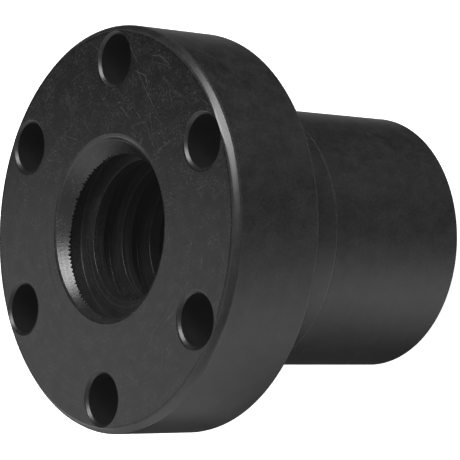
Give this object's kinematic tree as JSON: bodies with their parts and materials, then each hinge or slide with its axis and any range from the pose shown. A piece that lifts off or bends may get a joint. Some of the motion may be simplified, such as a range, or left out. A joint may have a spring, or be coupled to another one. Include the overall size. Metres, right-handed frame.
{
  "type": "lead screw nut",
  "caption": "Round flanged nut for a trapezoidal lead screw, with a long plain barrel and bolt holes around the flange.",
  "frame": {"origin": "centre of the flange's seat face, on the thread axis", "axes": "+Z along the thread axis, from the seat face out through the flange; +Y through the middle of one bolt hole"},
  "size_m": [0.068, 0.068, 0.06],
  "materials": {
    "blackened_steel": "turned steel with a thin satin black oxide coat"
  },
  "bodies": {
    "root": {"flanged_nut": "blackened_steel"}
  },
  "joints": []
}
